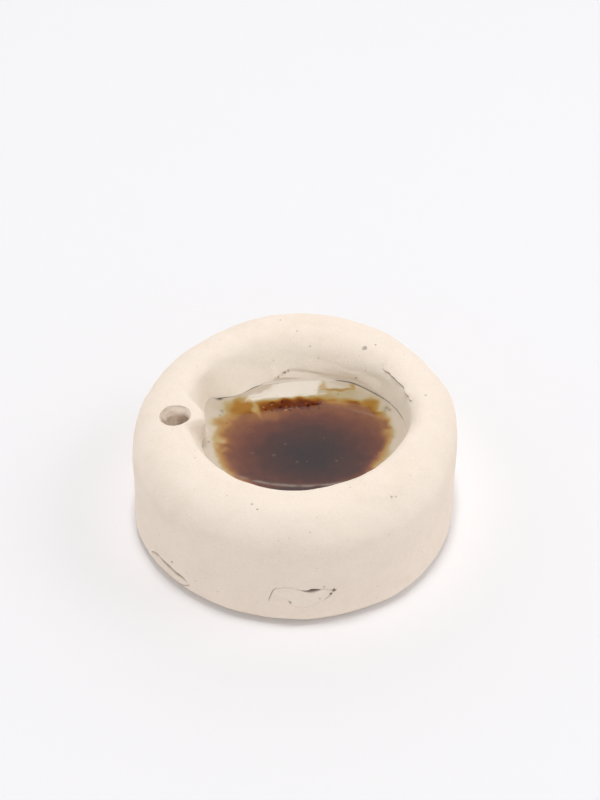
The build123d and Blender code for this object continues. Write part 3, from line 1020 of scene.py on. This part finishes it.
def clay_material():
    """Unglazed cream stoneware: mottled, with fine grain and brown specks, with painted shade inside its
    seams, seats and slit, and a pale glaze coat in the dish that is partly painted light.
    """
    material, nodes = new_material("stoneware")
    place = nodes.millimetres()
    mottle = nodes.noise(place, 0.17, 6.0, 0.6)
    colour = nodes.ramp(mottle, [(stop, np.array(CLAY) * factors) for stop, factors in CLAY_MOTTLE])
    # Pale glaze coat in the dish, partly painted light on its shaded inner walls
    colour = nodes.blend(nodes.field("film_and_light"), colour, (*FILM_AND_LIGHT, 1.0))
    grain = nodes.noise(place, 3.2, 3.0, 0.65)
    colour = nodes.blend(0.55, colour, nodes.ramp(grain, ((0.3, 0.93), (0.7, 1.04))), "MULTIPLY")
    colour = nodes.speckled(colour, place, CLAY_SPECKS)
    points = hand_formed(np.array([point for point, *_ in CLAY_PITS]))
    pit = nodes.pits(place, points, [sizes for _, *sizes in CLAY_PITS])
    colour = nodes.blend(pit, colour, (*PIT, 1.0))
    # Painted shade from the shade field: deep in seams, seats and the slit under the flap
    seam = nodes.ramp(nodes.field("shade"), ((0.0, 1.0), (1.0, PAINTED_SEAM_SHADE)))
    colour = nodes.blend(1.0, colour, seam, "MULTIPLY")
    rough = nodes.ramp(grain, ((0.3, 0.82), (0.7, 0.94)))
    soft = nodes.bump(nodes.noise(place, 0.75, 4.0, 0.6), 0.06)
    sunk = nodes.bump(nodes.math("MULTIPLY", pit, -1.0), 0.12, soft)
    normal = nodes.bump(grain, 0.035, sunk)
    nodes.surface(Base_Color=colour, Roughness=rough, Normal=normal, Specular_IOR_Level=0.25)
    return material


def glaze_colour(nodes, place, specks):
    """Colour of the glaze from its amber depth, broken up by fine veins, flecks and bubbles, with a painted
    reflection on its front swell and painted shade along its gaps.
    """
    depth = nodes.field("amber")
    veins = nodes.math("SUBTRACT", nodes.noise(place, 0.5, 4.0, 0.55), 0.5)
    spread = nodes.math("MULTIPLY", nodes.math("ADD", depth, 0.04), nodes.math("MULTIPLY", veins, 0.45))
    deepest = GLAZE_SCALE[-1][0]
    depth = nodes.math("DIVIDE", nodes.math("ADD", depth, spread), deepest)
    colour = nodes.ramp(depth, [(stop / deepest, tone) for stop, tone in GLAZE_SCALE])
    # Painted reflection on the front swell, and the glass's pale nicks
    colour = nodes.blend(nodes.field("reflection_and_nicks"), colour, (*PALE_REFLECTION_AND_NICKS, 1.0))
    # Painted shade along the gaps between glass and wall, and the glass's dull spots
    colour = nodes.blend(nodes.field("gap_shade_and_spots"), colour, (*GAP_SHADE_AND_SPOTS_GREY, 1.0))
    return nodes.speckled(colour, place, specks)


def glaze_material(name, specks):
    """Glossy melted glaze with a faintly rippled surface."""
    material, nodes = new_material(name)
    place = nodes.millimetres()
    colour = glaze_colour(nodes, place, specks)
    rough = nodes.ramp(nodes.noise(place, 0.6, 3.0), ((0.3, 0.03), (0.7, 0.07)))
    normal = nodes.bump(nodes.noise(place, 0.3, 1.0), 0.008)
    nodes.surface(Base_Color=colour, Roughness=rough, Normal=normal, IOR=1.5)
    return material


def add_floor():
    half = STAGE_HALF
    corners = [(-half, -half, 0), (half, -half, 0), (half, half, 0), (-half, half, 0)]
    mesh = bpy.data.meshes.new("floor")
    mesh.from_pydata(corners, [], [(0, 1, 2, 3)])
    material, nodes = new_material("floor")
    nodes.surface(Base_Color=(*STAGE, 1.0), Roughness=1.0, Specular_IOR_Level=0.0)
    mesh.materials.append(material)
    floor = bpy.data.objects.new("floor", mesh)
    bpy.context.scene.collection.objects.link(floor)


def light_world():
    """Pale studio: bright up to the top edge of the backdrop, dark over it."""
    world = bpy.data.worlds.new("studio")
    world.use_nodes = True
    bpy.context.scene.world = world
    nodes = Nodes(world.node_tree)
    way = nodes.add("ShaderNodeTexCoord").outputs["Generated"]
    axes = nodes.add("ShaderNodeSeparateXYZ", Vector=way)
    rise = [(sin(radians(elevation)), level) for elevation, level in BACKDROP_RISE]
    level = nodes.ramp(axes.outputs["Z"], rise)
    lean = nodes.math("ADD", nodes.math("MULTIPLY", axes.outputs["Y"], BACKDROP_LEAN), BACKDROP_LEVEL)
    glow = nodes.add("ShaderNodeBackground", Color=level, Strength=lean)
    nodes.add("ShaderNodeOutputWorld", Surface=glow.outputs[0])


def add_lamp(name, place, size, brightness, aim=None):
    """Soft rectangular lamp that faces straight down, or towards a point."""
    lamp = bpy.data.lights.new(name, "AREA")
    lamp.shape = "RECTANGLE"
    lamp.size, lamp.size_y = size
    lamp.energy = brightness * pi * size[0] * size[1]
    holder = bpy.data.objects.new(name, lamp)
    holder.location = place
    if aim is not None:
        holder.rotation_euler = (Vector(aim) - Vector(place)).to_track_quat("-Z", "Y").to_euler()
    bpy.context.scene.collection.objects.link(holder)
    return holder


def add_lamps():
    """Lamps that only light, and panels that show only as highlights in the glass."""
    for name, place, size, brightness in LAMPS:
        lamp = add_lamp(name, place, size, brightness, (0, 0, 0))
        lamp.visible_glossy = False
    for name, place, size, brightness in PANELS:
        panel = add_lamp(name, place, size, brightness)
        panel.visible_diffuse = False


def add_camera():
    """Camera that sees the middle of the foot at its pixel of the photograph."""
    lens = bpy.data.cameras.new("camera")
    lens.sensor_fit = "VERTICAL"
    lens.sensor_height = SENSOR
    lens.lens = FOCAL_PIXELS * SENSOR / IMAGE_HEIGHT
    lens.clip_start = 0.01
    tilt = Matrix.Rotation(radians(90 - CAMERA_ELEVATION), 4, "X")
    away = Matrix.Translation((0, 0, CAMERA_DISTANCE * MM))
    pan = Matrix.Rotation(atan2(FOOT_PIXEL[0] - IMAGE_WIDTH / 2, FOCAL_PIXELS), 4, "Y")
    nod = Matrix.Rotation(atan2(FOOT_PIXEL[1] - IMAGE_HEIGHT / 2, FOCAL_PIXELS), 4, "X")
    camera = bpy.data.objects.new("camera", lens)
    camera.matrix_world = tilt @ away @ pan @ nod
    bpy.context.scene.collection.objects.link(camera)
    bpy.context.scene.camera = camera


stoneware = clay_material()
amber = glaze_material("amber", AMBER_SPECKS)
celadon = glaze_material("celadon", CELADON_SPECKS)

clay_body(stoneware)
pressed_scrap("front_clay_scrap", *SCRAP, SCRAP_PROUD, stoneware)
pressed_scrap("left_clay_strip", *STRIP, 0.0, stoneware)
celadon_glaze(celadon)
amber_glaze(amber)

add_floor()
light_world()
add_lamps()
add_camera()
bpy.context.scene.view_settings.view_transform = "Standard"
